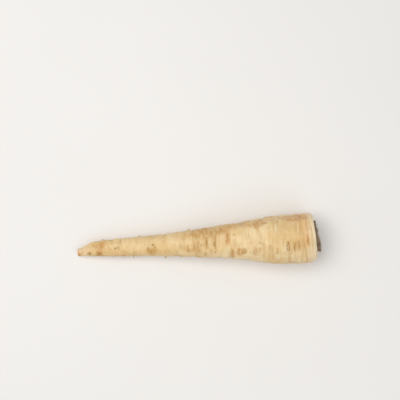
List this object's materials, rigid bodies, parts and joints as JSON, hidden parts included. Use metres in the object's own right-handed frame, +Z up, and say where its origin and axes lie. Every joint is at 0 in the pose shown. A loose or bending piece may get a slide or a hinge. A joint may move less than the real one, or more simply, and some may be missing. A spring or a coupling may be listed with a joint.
{
  "type": "parsnip",
  "caption": "Whole parsnip taproot lying on its side: cream tapering body with a rounded shoulder, wrinkles, lenticels, a cut tail and dark cut leaf-stalk bases in a sunken crown",
  "frame": {"origin": "centre of the bounding box in x and y, on the surface that the root lies on", "axes": "+X along the root from the cut tail to the crown, +Z up, +Y the root's left side seen from above with the crown to the right"},
  "size_m": [0.1942, 0.0393, 0.0392],
  "materials": {
    "root_skin": "cream to straw-yellow raw root skin, faintly waxy, with brown lenticels and creases",
    "leaf_stalk": "dull grey-brown dried leaf-stalk tissue, fibrous"
  },
  "bodies": {
    "root": {"root": "root_skin", "leaf_stubs": "leaf_stalk"}
  },
  "joints": []
}
